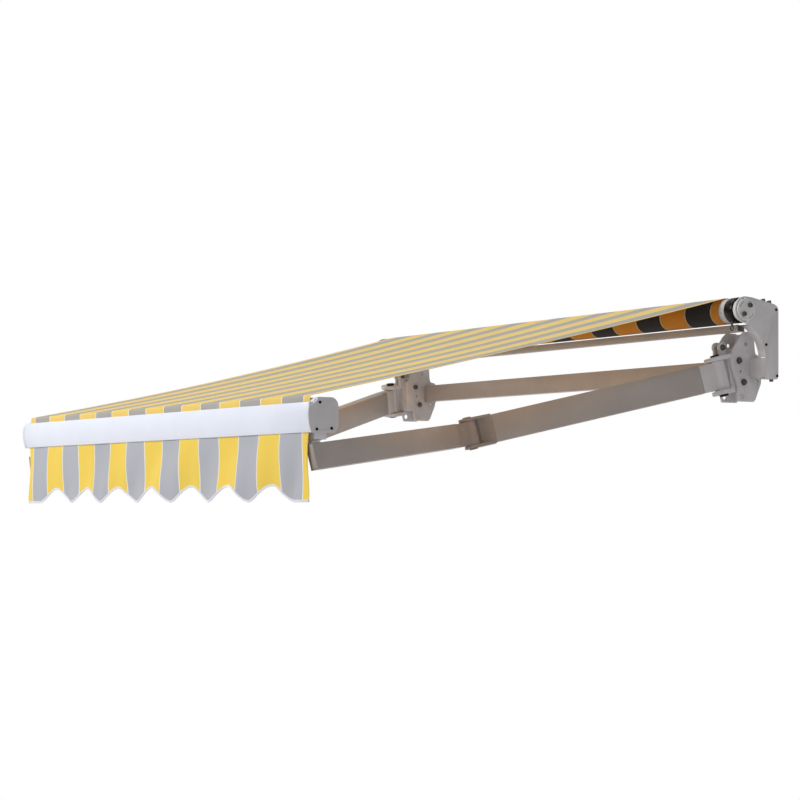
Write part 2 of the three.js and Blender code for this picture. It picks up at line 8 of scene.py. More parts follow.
import bmesh
import bpy
import numpy as np
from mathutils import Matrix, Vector

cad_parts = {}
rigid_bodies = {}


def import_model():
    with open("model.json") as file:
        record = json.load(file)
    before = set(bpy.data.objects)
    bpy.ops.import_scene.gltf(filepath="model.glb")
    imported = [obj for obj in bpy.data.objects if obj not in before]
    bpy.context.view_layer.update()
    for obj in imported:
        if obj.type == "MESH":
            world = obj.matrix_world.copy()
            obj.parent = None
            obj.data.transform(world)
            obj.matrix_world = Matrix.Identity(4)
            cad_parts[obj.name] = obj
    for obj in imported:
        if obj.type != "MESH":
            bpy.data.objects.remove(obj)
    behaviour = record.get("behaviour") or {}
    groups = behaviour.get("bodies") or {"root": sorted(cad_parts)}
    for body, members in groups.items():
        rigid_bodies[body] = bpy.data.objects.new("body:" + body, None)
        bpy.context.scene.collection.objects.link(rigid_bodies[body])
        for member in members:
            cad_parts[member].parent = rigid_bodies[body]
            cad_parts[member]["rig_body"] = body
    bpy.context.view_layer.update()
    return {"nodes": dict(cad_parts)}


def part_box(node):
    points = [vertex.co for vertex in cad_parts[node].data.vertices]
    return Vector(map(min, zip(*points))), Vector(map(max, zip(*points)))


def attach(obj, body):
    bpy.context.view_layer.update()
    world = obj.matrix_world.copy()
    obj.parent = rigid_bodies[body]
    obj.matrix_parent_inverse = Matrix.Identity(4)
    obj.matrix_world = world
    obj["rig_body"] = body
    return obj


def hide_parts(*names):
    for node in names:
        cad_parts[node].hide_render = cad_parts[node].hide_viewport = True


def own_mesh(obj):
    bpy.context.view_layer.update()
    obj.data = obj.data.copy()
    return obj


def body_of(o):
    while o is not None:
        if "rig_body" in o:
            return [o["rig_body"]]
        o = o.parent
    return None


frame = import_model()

NODES = frame["nodes"]
SCENE = bpy.context.scene

# ---------- places shared with the CAD ----------
CLOTH_HALF = 1.0
PITCH = 0.257                              # one yellow and one grey stripe
LOBES = 8                                  # lobes of the hem, each under a grey stripe
ROLLER = Vector((0, -0.142, 0.179))        # roller axis
WOUND_R = 0.0415
FRONT = Vector((0, -1.637, -0.181))        # centre of the front bar
FRONT_HALF = 1.020
CLOTH_THICK = 0.0012
VALANCE_Y = -1.670
VALANCE_LOW = -0.425
VALANCE_PEAK = -0.379
SLOPE = 13                                 # fall of the canopy where it leaves the roller, degrees
CAP_SCREWS = ((-1.650, -0.146), (-1.660, -0.222), (-1.612, -0.219))
PLATE_SCREWS = ((-0.016, 0.184), (-0.058, 0.072), (-0.014, -0.026))


# ---------- camera ----------
def look(location, turn, lift, lens):
    """A camera at location, looking turn degrees from -X towards +Y, and lift degrees up."""
    data = bpy.data.cameras.new("camera")
    data.sensor_width = 36
    data.lens = lens
    data.clip_end = 200
    cam = bpy.data.objects.new("camera", data)
    SCENE.collection.objects.link(cam)
    a, e = math.radians(turn), math.radians(lift)
    ahead = Vector((-math.cos(a) * math.cos(e), math.sin(a) * math.cos(e), math.sin(e)))
    cam.location = location
    cam.rotation_mode = "QUATERNION"
    cam.rotation_quaternion = ahead.to_track_quat("-Z", "Y")
    SCENE.camera = cam


look(Vector((6.6288, -4.8739, -0.4402)), 31.92, 2.66, 103.5)
SCENE.view_settings.view_transform = "Standard"
SCENE.view_settings.look = "None"


# ---------- materials ----------
class Nodes:
    """Short calls for building one material's nodes."""

    def __init__(self, name):
        self.mat = bpy.data.materials.new(name)
        self.mat.use_nodes = True
        self.tree = self.mat.node_tree
        self.shader = next(n for n in self.tree.nodes if n.type == "BSDF_PRINCIPLED")
        self.place = self.tree.nodes.new("ShaderNodeTexCoord").outputs["Object"]

    def _join(self, value, socket):
        if isinstance(value, bpy.types.NodeSocket):
            self.tree.links.new(value, socket)
        else:
            socket.default_value = value

    def math(self, operation, *values):
        node = self.tree.nodes.new("ShaderNodeMath")
        node.operation = operation
        for value, socket in zip(values, node.inputs):
            self._join(value, socket)
        return node.outputs[0]

    def axes(self):
        node = self.tree.nodes.new("ShaderNodeSeparateXYZ")
        self._join(self.place, node.inputs[0])
        return node.outputs

    def noise(self, scale, detail=2.0, rough=0.5, stretch=None):
        node = self.tree.nodes.new("ShaderNodeTexNoise")
        node.inputs["Scale"].default_value = scale
        node.inputs["Detail"].default_value = detail
        node.inputs["Roughness"].default_value = rough
        place = self.place
        if stretch:
            mapping = self.tree.nodes.new("ShaderNodeMapping")
            mapping.inputs["Scale"].default_value = stretch
            self._join(place, mapping.inputs["Vector"])
            place = mapping.outputs[0]
        self._join(place, node.inputs["Vector"])
        return node.outputs["Fac"]

    def between(self, value, low, high, to_low, to_high):
        node = self.tree.nodes.new("ShaderNodeMapRange")
        for v, key in ((value, "Value"), (low, "From Min"), (high, "From Max"),
                       (to_low, "To Min"), (to_high, "To Max")):
            self._join(v, node.inputs[key])
        return node.outputs[0]

    def mix(self, share, a, b, how="MIX"):
        node = self.tree.nodes.new("ShaderNodeMix")
        node.data_type = "RGBA"
        node.blend_type = how
        self._join(share, node.inputs[0])
        for value, socket in ((a, node.inputs[6]), (b, node.inputs[7])):
            self._join((*value, 1) if isinstance(value, tuple) else value, socket)
        return node.outputs[2]

    def bump(self, height, strength, distance, below=None):
        node = self.tree.nodes.new("ShaderNodeBump")
        node.inputs["Strength"].default_value = strength
        node.inputs["Distance"].default_value = distance
        self._join(height, node.inputs["Height"])
        if below is not None:
            self._join(below, node.inputs["Normal"])
        return node.outputs[0]

    def edges(self):
        """1 on worn outer edges, 0 elsewhere."""
        node = self.tree.nodes.new("ShaderNodeNewGeometry")
        return self.between(node.outputs["Pointiness"], 0.52, 0.6, 0.0, 1.0)

    def painted_lit_side(self):
        """Mask for painted light and shade: 1 where the object's surface faces up or towards the wall, 0
        where it faces down or outwards.
        """
        node = self.tree.nodes.new("ShaderNodeSeparateXYZ")
        self._join(self.tree.nodes.new("ShaderNodeTexCoord").outputs["Normal"], node.inputs[0])
        facing = self.math("ADD", node.outputs[2], self.math("MULTIPLY", node.outputs[1], 0.8))
        return self.between(facing, 0.35, 0.9, 0.0, 1.0)

    def done(self, color, rough, normal=None, **fixed):
        self._join(color, self.shader.inputs["Base Color"])
        self._join(rough, self.shader.inputs["Roughness"])
        if normal is not None:
            self._join(normal, self.shader.inputs["Normal"])
        for key, value in fixed.items():
            self.shader.inputs[key.replace("_", " ")].default_value = value
        return self.mat


def rgb(r, g, b):
    """Linear colour from 0-255 screen values."""
    def line(v):
        v /= 255
        return v / 12.92 if v <= 0.04045 else ((v + 0.055) / 1.055) ** 2.4
    return tuple(line(v) for v in (r, g, b))


def canvas(name, yellow, grey, thread, across, seams=(), painted_shade_colors=None):
    """Striped acrylic canvas. across gives the second thread direction from the object's X, Y and Z,
    and the last argument the two stripe colours of painted shade, laid where the surface faces down and
    outwards."""
    warp_pitch, weft_pitch, stitch_pitch = 0.0011, 0.0013, 0.005
    n = Nodes(name)
    x, y, z = n.axes()
    wobble = n.math("MULTIPLY", n.math("SUBTRACT", n.noise(7.0), 0.5), 0.0016)
    phase = n.math("ADD", n.math("MULTIPLY", n.math("ADD", x, wobble), 1 / PITCH), LOBES / 2 + 5.75)
    turn = n.math("FRACT", phase)
    is_grey = n.math("LESS_THAN", turn, 0.5)
    half_turns = n.math("FRACT", n.math("ADD", n.math("MULTIPLY", phase, 2.0), 0.5))
    border = n.math("ABSOLUTE", n.math("SUBTRACT", half_turns, 0.5))
    line = n.between(border, 0.014, 0.022, 1.0, 0.0)
    color = n.mix(is_grey, yellow, grey)
    # painted shade: darker stripe colours where the surface faces down and outwards
    if painted_shade_colors:
        color = n.mix(n.painted_lit_side(), n.mix(is_grey, *painted_shade_colors), color)
    color = n.mix(line, color, thread)
    v = across(n, y, z)
    warp = n.math("SINE", n.math("MULTIPLY", x, 2 * math.pi / warp_pitch))
    weft = n.math("SINE", n.math("MULTIPLY", v, 2 * math.pi / weft_pitch))
    weave = n.math("MULTIPLY", warp, weft)
    fibre = n.noise(900.0, 3.0, 0.7)
    cloud = n.noise(2.6, 4.0, 0.55)
    streak = n.noise(60.0, 2.0, 0.5, stretch=(8.0, 0.15, 0.15))
    threads = n.math("ADD", n.between(weave, -1.0, 1.0, -0.03, 0.03),
                     n.between(streak, 0.3, 0.7, -0.018, 0.018))
    shade = n.math("ADD", n.between(cloud, 0.3, 0.7, 0.955, 1.03), threads)
    shade = n.math("ADD", shade, n.between(fibre, 0.3, 0.7, -0.03, 0.03))
    color = n.mix(1.0, color, n.mix(shade, (0.0, 0.0, 0.0), (1.0, 1.0, 1.0)), "MULTIPLY")
    height = n.math("ADD", n.math("MULTIPLY", weave, 0.5), fibre)
    for seam in seams:
        near = n.math("ABSOLUTE", n.math("SUBTRACT", x, seam))
        lap = n.between(near, 0.0085, 0.0105, 1.0, 0.0)
        row = n.between(n.math("ABSOLUTE", n.math("SUBTRACT", near, 0.006)), 0.0004, 0.0009, 1.0, 0.0)
        along = n.math("FRACT", n.math("MULTIPLY", v, 1 / stitch_pitch))
        stitch = n.math("MULTIPLY", row, n.math("GREATER_THAN", along, 0.3))
        raised = n.math("ADD", n.math("MULTIPLY", lap, 1.6), n.math("MULTIPLY", stitch, -1.4))
        height = n.math("ADD", height, raised)
        color = n.mix(n.math("MULTIPLY", stitch, 0.5), color, thread)
    rough = n.between(fibre, 0.3, 0.7, 0.78, 0.95)
    return n.done(color, rough, n.bump(height, 0.35, 0.0004),
                  Sheen_Weight=0.12, Sheen_Roughness=0.5, Specular_IOR_Level=0.25)


def powder(name, color, dark, rough=0.42, grain=700.0, wear=0.25, coat=0.0, painted_lit_ends=None):
    """Powder coat: fine orange peel, slow colour drift and paler rubbed edges.

    The last argument gives painted light: the paler colour of the parts more than 1 m from the middle.
    """
    n = Nodes(name)
    tone = color
    if painted_lit_ends:
        # painted light: paler colour on the parts more than 1 m from the middle
        lit_ends_share = n.between(n.math("ABSOLUTE", n.axes()[0]), 0.990, 1.010, 0.0, 1.0)
        color, dark = n.mix(lit_ends_share, color, painted_lit_ends), n.mix(lit_ends_share, dark, painted_lit_ends)
    drift = n.noise(9.0, 4.0, 0.6)
    fine = n.noise(grain, 2.0, 0.6)
    speck = n.between(n.noise(1900.0, 1.0), 0.62, 0.72, 0.0, 1.0)
    base = n.mix(n.between(drift, 0.35, 0.65, 0.0, 1.0), dark, color)
    base = n.mix(n.math("MULTIPLY", speck, 0.12), base, tuple(min(1.0, c * 1.5 + 0.03) for c in tone))
    base = n.mix(n.math("MULTIPLY", n.edges(), wear), base, tuple(min(1.0, c * 1.7 + 0.05) for c in tone))
    scuff = n.noise(45.0, 5.0, 0.7, stretch=(1.0, 3.0, 2.0))
    roughness = n.math("ADD", n.between(scuff, 0.3, 0.7, rough - 0.07, rough + 0.09),
                       n.between(fine, 0.3, 0.7, -0.03, 0.03))
    normal = n.bump(fine, 0.22, 0.0003, n.bump(drift, 0.1, 0.001))
    return n.done(base, roughness, normal, Coat_Weight=coat, Coat_Roughness=0.25)


def metal(name, color, rough=0.3, stretch=(1.0, 12.0, 12.0), tone=0.75):
    """Zinc-plated or mill-finish metal with fine turning lines and cloudy plating."""
    n = Nodes(name)
    lines = n.noise(220.0, 3.0, 0.7, stretch=stretch)
    cloud = n.noise(35.0, 3.0, 0.5)
    base = n.mix(n.between(cloud, 0.35, 0.7, 0.0, 1.0), tuple(c * tone for c in color), color)
    roughness = n.between(lines, 0.3, 0.7, rough - 0.08, rough + 0.14)
    return n.done(base, roughness, n.bump(lines, 0.15, 0.0002), Metallic=1.0)


def plastic(name, color, rough=0.45, metallic=0.0):
    """Moulded black plastic or blacked steel: fine spark texture, dust and scuffs."""
    n = Nodes(name)
    fine = n.noise(1300.0, 2.0, 0.6)
    dust = n.noise(25.0, 5.0, 0.65)
    base = n.mix(n.between(dust, 0.5, 0.8, 0.0, 0.25), color, tuple(c * 2.0 + 0.01 for c in color))
    roughness = n.between(dust, 0.3, 0.7, rough - 0.08, rough + 0.12)
    return n.done(base, roughness, n.bump(fine, 0.2, 0.0002), Metallic=metallic, Specular_IOR_Level=0.22)


def along_slope(n, y, z):
    return n.math("MULTIPLY", y, 1.03)


def along_drop(n, y, z):
    return z


def round_roller(n, y, z):
    angle = n.math("ARCTAN2", n.math("SUBTRACT", z, ROLLER.z), n.math("SUBTRACT", y, ROLLER.y))
    return n.math("MULTIPLY", angle, WOUND_R)


YELLOW = rgb(240, 200, 84)
GREY = rgb(168, 168, 166)
COOL_GREY = rgb(181, 183, 190)
THREAD = rgb(238, 236, 226)
# The taupe colours are painted shade: the arm tubes, tie rail and torsion bar stand for the castings' light
# grey coat, darkened and browned as in shade.
SHADED_TAUPE_COLORS = (rgb(171, 162, 157), rgb(163, 154, 150))
SEAMS = (-0.4375, 0.4375)
MATS = {
    # Canopy and valance are one cloth: the canopy's paler, less saturated stripe colours are painted light on
    # its top.
    "canopy": canvas("canvas_canopy", rgb(242, 207, 106), rgb(174, 170, 162), THREAD, along_slope,
                     seams=SEAMS),
    "valance": canvas("canvas_valance", rgb(246, 211, 86), COOL_GREY, THREAD, along_drop),
    # the wound roll's orange and near-black stripe colours are painted shade on its lower, outer side
    "wound": canvas("canvas_wound", YELLOW, GREY, rgb(190, 170, 130), round_roller,
                    painted_shade_colors=(rgb(205, 128, 22), rgb(36, 28, 24))),
    "white_coat": powder("white_coat", rgb(233, 237, 249), rgb(230, 234, 246),
                         rough=0.34, grain=1100.0, wear=0.1, coat=0.15),
    "grey_cast": powder("grey_cast", rgb(214, 210, 213), rgb(202, 198, 201), grain=420.0, wear=0.35),
    "pale_cast": powder("pale_cast", rgb(226, 224, 224), rgb(210, 207, 206),
                        rough=0.4, grain=420.0, wear=0.3),
    # This darker, browner copy of the castings' grey coat is painted shade, used on the elbow and front
    # castings and the elbow pins.
    "arm_cast_painted_shade": powder("arm_cast_painted_shade", rgb(156, 145, 139), rgb(146, 135, 129), grain=420.0),
    "taupe_coat": powder("taupe_coat", *SHADED_TAUPE_COLORS, rough=0.36, grain=800.0),
    # torsion bar coat: painted shade in its taupe, painted light on the parts beyond 1 m from the middle
    "taupe_painted_shade_lit_ends": powder("taupe_painted_shade_lit_ends", *SHADED_TAUPE_COLORS, rough=0.36, grain=800.0,
                              painted_lit_ends=rgb(206, 203, 206)),
    "steel": metal("steel", rgb(120, 118, 116), rough=0.35),
    "mill": powder("mill_finish", rgb(196, 194, 192), rgb(184, 182, 180), rough=0.4, grain=300.0, wear=0.1),
    "black_steel": plastic("black_steel", rgb(30, 28, 27), rough=0.34, metallic=0.5),
    "black_plastic": plastic("black_plastic", rgb(11, 10, 10), rough=0.24),
}


# ---------- turning meshes into pieces ----------
def apply_modifiers(obj):
    """Bakes an object's modifiers into its mesh."""
    graph = bpy.context.evaluated_depsgraph_get()
    mesh = bpy.data.meshes.new_from_object(obj.evaluated_get(graph))
    obj.modifiers.clear()
    obj.data = mesh
    return obj


def sharpen(mesh, angle=38):
    """Smooth shading, with a crease where faces meet at more than the angle."""
    limit = math.radians(angle)
    bm = bmesh.new()
    bm.from_mesh(mesh)
    for face in bm.faces:
        face.smooth = True
    for edge in bm.edges:
        edge.smooth = len(edge.link_faces) == 2 and edge.calc_face_angle(0.0) < limit
    bm.to_mesh(mesh)
    bm.free()


def new_piece(name, mesh, material, body, stands_for=()):
    obj = bpy.data.objects.new(name, mesh)
    SCENE.collection.objects.link(obj)
    mesh.materials.clear()
    mesh.materials.append(material)
    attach(obj, body)
    if stands_for:
        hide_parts(*stands_for)
    return obj


def mesh_from(name, verts, faces):
    mesh = bpy.data.meshes.new(name)
    mesh.from_pydata([tuple(v) for v in verts], [], faces)
    mesh.update()
    return mesh


def eased(obj, width, segments=2, angle=32):
    """Rounds an object's edges and smooths its shading."""
    bevel = obj.modifiers.new("ease", "BEVEL")
    bevel.width = width
    bevel.segments = segments
    bevel.limit_method = "ANGLE"
    bevel.angle_limit = math.radians(angle)
    bevel.use_clamp_overlap = True
    bevel.miter_outer = "MITER_ARC"
    apply_modifiers(obj)
    sharpen(obj.data)
    return obj


def refined(node, material, width=0.001):
    """A CAD node's own shape with rounded edges, standing for the node."""
    source = NODES[node]
    bm = bmesh.new()
    bm.from_mesh(source.data)
    bmesh.ops.remove_doubles(bm, verts=bm.verts, dist=2e-5)
    bmesh.ops.dissolve_limit(bm, angle_limit=math.radians(1.0), verts=bm.verts, edges=bm.edges)
    mesh = bpy.data.meshes.new(node + "_finished")
    bm.to_mesh(mesh)
    bm.free()
    body = body_of(source)[0]
    obj = new_piece(node + "_finished", mesh, material, body, (node,))
    return eased(obj, width)


CAST = ["side_plate", "wall_bracket", "shoulder_mount", "shoulder_fork", "shoulder_knuckle", "bar_bracket"]
# castings given the painted-shade copy of the grey coat
SHADED_CAST = ["elbow_fork", "elbow_knuckle", "front_knuckle"]
SHADED_TAUPE_PARTS = ["upper_arm_tube", "forearm_tube"]
STEEL = ["wall_bolt_upper", "wall_bolt_lower", "pitch_bolt", "clamp_bolt", "lug_bolt"]
BLACK = ["shoulder_pin", "front_pin"]

for side in ("right", "left"):
    for part in CAST:
        refined(f"{side}_{part}", MATS["grey_cast"])
    for part in SHADED_CAST:
        refined(f"{side}_{part}", MATS["arm_cast_painted_shade"])
    refined(f"{side}_end_flange", MATS["pale_cast"])
    # The end caps are alike; the right one's grey, against the left one's white, is painted shade.
    refined(f"{side}_bar_end_cap", MATS["grey_cast" if side == "right" else "white_coat"])
    # arm tubes: the taupe coat of painted shade
    for part in SHADED_TAUPE_PARTS:
        refined(f"{side}_{part}", MATS["taupe_coat"], 0.002)
    for part in STEEL:
        refined(f"{side}_{part}", MATS["steel"], 0.0005)
    for part in BLACK:
        refined(f"{side}_{part}", MATS["black_steel"], 0.0008)
    # the elbow pins take the same painted-shade coat as the elbow castings
    refined(f"{side}_elbow_pin", MATS["arm_cast_painted_shade"], 0.0008)
# the torsion bar: painted shade in its taupe, painted light on its ends
refined("torsion_bar", MATS["taupe_painted_shade_lit_ends"], 0.0015)
# the tie rail takes the taupe coat of painted shade
for part, key, width in (("tie_rail", "taupe_coat", 0.001), ("gear_case", "black_plastic", 0.001),
                         ("bearing_case", "black_plastic", 0.001), ("gear_bolt_upper", "steel", 0.0005),
                         ("gear_bolt_lower", "steel", 0.0005)):
    refined(part, MATS[key], width)
for part, key in (("roller_tube", "mill"), ("crank_eye", "steel"),
                  ("right_roller_plug", "black_plastic"), ("left_roller_plug", "black_plastic"),
                  ("right_arm_spring", "steel"), ("left_arm_spring", "steel")):
    for holder in NODES[part].material_slots:
        holder.material = MATS[key]


# ---------- front bar ----------
def bowed(a, b, c, steps):
    """Points of a quadratic curve from a to c, pulled towards b."""
    out = []
    for k in range(steps + 1):
        t = k / steps
        out.append(tuple((1 - t) ** 2 * p + 2 * t * (1 - t) * q + t * t * r for p, q, r in zip(a, b, c)))
    return out


def bar_outline():
    """The front bar's section, with its two cloth grooves, as (Y, Z) points."""
    millimetres = []
    millimetres += [(-43.4, 36)]
    millimetres += [p for p in bowed((-38.5, 49), (-59, 0), (-38.5, -49), 28) if p[1] < 35]
    millimetres += [(-36, -50), (-35, -50), (-35, -46), (-31, -46), (-31, -50)]
    millimetres += [(28, -50)]
    millimetres += bowed((30, -50), (47, -46), (47, -24), 10)
    millimetres += bowed((47, 22), (46, 44), (26, 49), 10)
    millimetres += [(-21, 49), (-27, 41), (-28.2, 40), (-28.2, 30), (-31.8, 30), (-31.8, 37), (-33, 36)]
    return [(FRONT.y + y / 1000, FRONT.z + z / 1000) for y, z in millimetres]


def front_bar():
    """The front bar's profile run from end to end."""
    ring = bar_outline()
    count = len(ring)
    xs = np.linspace(-FRONT_HALF, FRONT_HALF, 9)
    verts = [(x, y, z) for x in xs for y, z in ring]
    faces = []
    for i in range(len(xs) - 1):
        for k in range(count):
            a, b = i * count + k, i * count + (k + 1) % count
            faces.append((a, b, b + count, a + count))
    faces.append(tuple(range(count)))
    faces.append(tuple(reversed(range((len(xs) - 1) * count, len(xs) * count))))
    mesh = mesh_from("front_bar_finished", verts, faces)
    bm = bmesh.new()
    bm.from_mesh(mesh)
    bmesh.ops.recalc_face_normals(bm, faces=bm.faces)
    bm.to_mesh(mesh)
    bm.free()
    obj = new_piece("front_bar_finished", mesh, MATS["white_coat"], "front_bar_body",
                    ("front_bar",))
    eased(obj, 0.0008)


front_bar()


# ---------- canopy ----------
def canopy_line(x, count):
    """Side view of the canopy at x, from the roller round to the bar's groove."""
    start = Vector((-0.1520, 0.2197))
    end = Vector((-1.6612, -0.1240))
    left_sag, right_sag, middle_sag = 0.0155, 0.0085, 0.004
    across = (x + CLOTH_HALF) / (2 * CLOTH_HALF)
    sag = left_sag + (right_sag - left_sag) * across + middle_sag * (1 - x * x)
    points = []
    for k in range(count):
        t = k / (count - 1)
        droop = sag * 4 * t * (1 - t)
        ripple = 0.0011 * math.sin(9.0 * x + 2.0) * math.sin(math.pi * t) * math.sin(5.3 * t + 1.7 * x)
        p = start.lerp(end, t)
        points.append((p.x, p.y - droop + ripple))
    radius, steps = 0.006, 5                   # fold over the bar's front edge
    first = math.radians(SLOPE)
    for k in range(1, steps + 1):
        a = math.radians(SLOPE + (90 - SLOPE) * k / steps)
        points.append((end.x - radius * (math.sin(a) - math.sin(first)),
                       end.y - radius * (math.cos(first) - math.cos(a))))
    y, z = points[-1]
    points += [(y + 0.0002, z - 0.008), (y + 0.0004, z - 0.016), (y + 0.0004, z - 0.021)]
    return points


def sheet_mesh(name, rows):
    """A grid of quads from equal rows of points."""
    across = len(rows[0])
    verts = [p for row in rows for p in row]
    faces = [(i * across + k, i * across + k + 1, (i + 1) * across + k + 1, (i + 1) * across + k)
             for i in range(len(rows) - 1) for k in range(across - 1)]
    return mesh_from(name, verts, faces)


def thickened(obj, thickness):
    solid = obj.modifiers.new("cloth", "SOLIDIFY")
    solid.thickness = thickness
    solid.offset = 0
    apply_modifiers(obj)
    sharpen(obj.data, 60)
    return obj


def canopy():
    """The stretched cloth, with a slight ripple along both side hems."""
    rows = []
    for x in np.linspace(-CLOTH_HALF, CLOTH_HALF, 161):
        edge = max(0.0, (abs(x) - 0.985) / 0.015)
        line = enumerate(canopy_line(x, 61))
        rows.append([(x, y, z + 0.0015 * edge * math.sin(0.5 + 3.0 * k / 60)) for k, (y, z) in line])
    mesh = sheet_mesh("canopy_cloth", rows)
    obj = new_piece("canopy_cloth", mesh, MATS["canopy"], "wall_frame", ("canopy",))
    return thickened(obj, CLOTH_THICK)


cloth = canopy()
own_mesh(cloth)


# ---------- valance ----------
def hem_height(x):
    """Height of the scalloped hem at x."""
    phase = x / PITCH + (LOBES - 1) / 2
    if phase < 0 or phase > LOBES - 1:
        return VALANCE_LOW
    arch = 0.5 - 0.5 * math.cos(2 * math.pi * phase)
    return VALANCE_LOW + (VALANCE_PEAK - VALANCE_LOW) * arch ** 0.9


def valance_point(x, t):
    """A point of the hanging cloth: t runs from the groove, 0, to the hem, 1."""
    top = FRONT.z - 0.046
    low = hem_height(x)
    z = top + (low - top) * t
    down = (top - z) / (top - VALANCE_LOW)
    wave = math.sin(2 * math.pi * (x / 0.56 + 0.13) + 1.1 * math.sin(3.1 * x) + 3.4 * down)
    wave += 0.3 * math.sin(2 * math.pi * x / 0.131 + 2.0 * down + 0.8)
    deep = down ** 0.6 * (0.78 + 0.22 * x)
    edge = max(0.0, (abs(x) - 0.90) / 0.10)
    y = VALANCE_Y - 0.001 * down + 0.0105 * wave * deep * (1 - 0.6 * edge)
    sway = 0.012 * math.sin(2 * math.pi * (x / 1.3 + 0.2) + 4.4 * down) * math.sin(math.pi * min(1.0, down))
    pull = 0.009 * edge * math.sin(math.pi * min(1.0, 1.15 * down))
    return (x + sway * (1 - edge) - pull * math.copysign(1, x), y, z)


def valance():
    xs = np.linspace(-CLOTH_HALF, CLOTH_HALF, 321)
    rows = [[valance_point(x, t) for t in np.linspace(0, 1, 25)] for x in xs]
    mesh = sheet_mesh("valance_cloth", rows)
    obj = new_piece("valance_cloth", mesh, MATS["valance"], "front_bar_body", ("valance",))
    return thickened(obj, CLOTH_THICK)


def binding():
    """White tape folded over the scalloped hem."""
    xs = np.linspace(-CLOTH_HALF, CLOTH_HALF, 481)
    section = [(-0.0016, -0.0012), (-0.0016, 0.0045), (-0.0007, 0.0052), (0.0007, 0.0052),
               (0.0016, 0.0045), (0.0016, -0.0012), (0.0, -0.0022)]
    rows = []
    for i, x in enumerate(xs):
        here = Vector(valance_point(x, 1))
        before = Vector(valance_point(xs[max(i - 1, 0)], 1))
        after = Vector(valance_point(xs[min(i + 1, len(xs) - 1)], 1))
        run = (after - before).normalized()
        up = Vector((0, 0, 1))
        up = (up - run * up.dot(run)).normalized()
        side = run.cross(up)
        rows.append([tuple(here + side * a + up * b) for a, b in section + section[:1]])
    mesh = sheet_mesh("valance_binding", rows)
    bm = bmesh.new()
    bm.from_mesh(mesh)
    bmesh.ops.remove_doubles(bm, verts=bm.verts, dist=1e-6)
    bmesh.ops.holes_fill(bm, edges=bm.edges, sides=0)
    bmesh.ops.recalc_face_normals(bm, faces=bm.faces)
    bm.to_mesh(mesh)
    bm.free()
    sharpen(mesh, 50)
    return new_piece("valance_binding", mesh, tape(), "front_bar_body")


def tape():
    """Ribbed white binding tape."""
    n = Nodes("binding_tape")
    x, y, z = n.axes()
    rib_pitch = 0.0016
    across = n.math("ADD", x, n.math("MULTIPLY", z, 0.4))
    rib = n.math("SINE", n.math("MULTIPLY", across, 2 * math.pi / rib_pitch))
    fibre = n.noise(800.0, 2.0, 0.6)
    base = n.mix(n.between(n.noise(12.0, 3.0), 0.3, 0.7, 0.0, 1.0), rgb(220, 222, 230), rgb(234, 235, 240))
    return n.done(base, n.between(fibre, 0.3, 0.7, 0.8, 0.95), n.bump(n.math("ADD", rib, fibre), 0.3, 0.0003),
                  Sheen_Weight=0.1, Specular_IOR_Level=0.25)


drop = valance()
hem = binding()


# ---------- cloth wound on the roller ----------
def wound():
    """Layers of cloth on the roller, ending in a spiral at each side."""
    turns, per_turn = 3, 72
    inner, outer = 0.0394, WOUND_R
    leaves_at = 90 + SLOPE                 # degrees round the roller where the canopy leaves it
    spiral = []
    for k in range(turns * per_turn + 1):
        a = math.radians(leaves_at) + 2 * math.pi * k / per_turn
        r = inner + (outer - inner) * k / (turns * per_turn)
        spiral.append((ROLLER.y + r * math.cos(a), ROLLER.z + r * math.sin(a)))
    xs = np.linspace(-CLOTH_HALF, CLOTH_HALF, 41)
    rows = [[(x, y, z) for y, z in spiral] for x in xs]
    mesh = sheet_mesh("wound_cloth_layers", rows)
    obj = new_piece("wound_cloth_layers", mesh, MATS["wound"], "roller", ("wound_cloth",))
    thickened(obj, 0.0005)


wound()


# ---------- screws ----------
def screw_rings(radius, height, socket):
    """Rings of a cap screw's head from its seat up, over its rim and down its hexagon socket."""
    count = 24
    turns = [2 * math.pi * k / count for k in range(count)]
    circle = [(radius, 0.0), (radius, height * 0.72), (radius * 0.93, height * 0.92), (radius * 0.84, height)]
    rings = [[(r * math.cos(a), r * math.sin(a), h) for a in turns] for r, h in circle]
    for depth in (height, height * 0.35):
        ring = []
        for a in turns:
            r = socket * math.cos(math.pi / 6) / math.cos((a % (math.pi / 3)) - math.pi / 6)
            ring.append((r * math.cos(a), r * math.sin(a), depth))
        rings.append(ring)
    return rings


def screws(name, heads, material, body):
    """One piece of several screw heads, each given as (place, direction, radius, height)."""
    verts, faces = [], []
    for place, direction, radius, height in heads:
        turn = Vector(direction).to_track_quat("Z", "Y").to_matrix()
        rings = screw_rings(radius, height, radius * 0.5)
        start = len(verts)
        for ring in rings:
            verts += [tuple(turn @ Vector(p) + Vector(place)) for p in ring]
        count = len(rings[0])
        for i in range(len(rings) - 1):
            for k in range(count):
                a, b = start + i * count + k, start + i * count + (k + 1) % count
                faces.append((a, b, b + count, a + count))
        faces.append(tuple(reversed(range(start, start + count))))
        top = start + (len(rings) - 1) * count
        faces.append(tuple(range(top, top + count)))
    mesh = mesh_from(name, verts, faces)
    sharpen(mesh, 30)
    return new_piece(name, mesh, material, body)


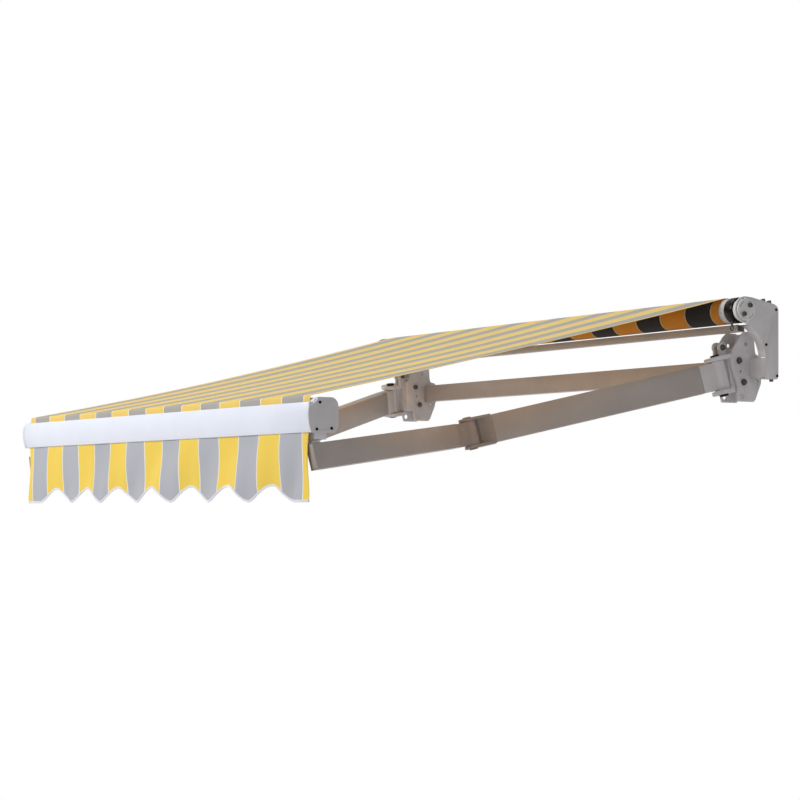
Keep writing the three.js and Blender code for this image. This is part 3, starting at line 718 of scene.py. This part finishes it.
for side, s in (("right", 1), ("left", -1)):
    low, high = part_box(f"{side}_side_plate")
    plate_x = high.x if s > 0 else low.x
    outward = (s, 0, 0)
    heads = [((plate_x, y, z), outward, 0.0042, 0.0022) for y, z in PLATE_SCREWS]
    screws(f"{side}_plate_screws", heads, MATS["black_steel"], "wall_frame")
    flange_x = plate_x - s * 0.016
    heads = [((flange_x, -0.055, 0.2070), (0, -0.2, 1), 0.0076, 0.0115),
             ((flange_x, -0.030, 0.2025), (0, -0.2, 1), 0.0076, 0.0115),
             ((flange_x, -0.024, -0.0365), (0, 0, -1), 0.0065, 0.0075)]
    screws(f"{side}_flange_screws", heads, MATS["steel"], "wall_frame")
    low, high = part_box(f"{side}_bar_end_cap")
    cap_x = high.x if s > 0 else low.x
    heads = [((cap_x, y, z), outward, 0.0042, 0.0016) for y, z in CAP_SCREWS]
    screws(f"{side}_cap_screws", heads, MATS["black_steel"], "front_bar_body")


# ---------- light and floor ----------
def lamp(name, at, towards, size, power, color=(1, 1, 1)):
    data = bpy.data.lights.new(name, "AREA")
    data.shape = "RECTANGLE"
    data.size, data.size_y = size
    data.energy = power
    data.color = color
    obj = bpy.data.objects.new(name, data)
    SCENE.collection.objects.link(obj)
    obj.location = at
    obj.rotation_mode = "QUATERNION"
    obj.rotation_quaternion = (Vector(towards) - Vector(at)).to_track_quat("-Z", "Y")
    return obj


lamp("key", (-1.2, -6.5, 3.0), (0, -0.9, 0), (3.5, 2.5), 250)
side_lamp = lamp("side", (3.4, -0.7, 0.7), (1.0, -0.3, 0), (1.2, 1.2), 5.5)
lamp("above", (-0.5, -1.4, 4.5), (0, -0.8, 0), (4.0, 3.0), 75)
glow = lamp("warm_under_canopy", (0, -0.86, -0.005), (0, -0.80, -0.27), (1.85, 1.25), 3, (1.0, 0.5, 0.16))
for hidden in (side_lamp, glow):
    hidden.visible_camera = False


def studio():
    """White surroundings; as light they are bright behind the awning and softer overhead and to its right."""
    world = bpy.data.worlds.new("studio")
    world.use_nodes = True
    tree = world.node_tree

    def node(kind, operation=None, *values):
        made = tree.nodes.new(kind)
        if operation:
            made.operation = operation
        for value, socket in zip(values, made.inputs):
            if isinstance(value, bpy.types.NodeSocket):
                tree.links.new(value, socket)
            else:
                socket.default_value = value
        return made

    place = node("ShaderNodeTexCoord").outputs["Generated"]
    height = node("ShaderNodeSeparateXYZ", None, place).outputs[2]
    behind = node("ShaderNodeVectorMath", "DOT_PRODUCT", place, (-0.848, 0.529, 0.0)).outputs["Value"]
    low = node("ShaderNodeMapRange", None, height, 0.26, 0.6, 1.0, 0.5).outputs[0]
    back = node("ShaderNodeMapRange", None, behind, -0.2, 0.8, 0.32, 1.0).outputs[0]
    light = node("ShaderNodeMath", "MULTIPLY", low, back).outputs[0]
    seen = node("ShaderNodeLightPath").outputs["Is Camera Ray"]
    strength = node("ShaderNodeMath", "MAXIMUM", light, seen).outputs[0]
    sky = tree.nodes["Background"]
    sky.inputs["Color"].default_value = (1, 1, 1, 1)
    tree.links.new(strength, sky.inputs["Strength"])
    SCENE.world = world


studio()


def floor():
    """A pale floor under the awning that fades into the white surroundings at its rim."""
    inner, radius, level, middle = 0.001, 7.3, -2.4, -0.8
    rings = [[(r * math.cos(a), middle + r * math.sin(a), level) for a in np.linspace(0, 2 * math.pi, 97)]
             for r in np.linspace(inner, radius, 12)]
    mesh = sheet_mesh("floor", rings)
    obj = bpy.data.objects.new("floor", mesh)
    SCENE.collection.objects.link(obj)
    n = Nodes("floor_paint")
    x, y, z = n.axes()
    outward = n.math("ADD", y, -middle)
    far = n.math("SQRT", n.math("ADD", n.math("POWER", x, 2.0), n.math("POWER", outward, 2.0)))
    fade = n.between(far, 4.0, 7.2, 0.0, 1.0)
    base = n.mix(n.noise(0.8, 3.0), (0.84, 0.84, 0.84), (0.88, 0.88, 0.88))
    base = n.mix(fade, base, (0.0, 0.0, 0.0))
    n.tree.links.new(fade, n.shader.inputs["Emission Strength"])
    n.shader.inputs["Emission Color"].default_value = (1, 1, 1, 1)
    mesh.materials.append(n.done(base, n.between(n.noise(3.0), 0.3, 0.7, 0.75, 0.9), Specular_IOR_Level=0.0))


floor()
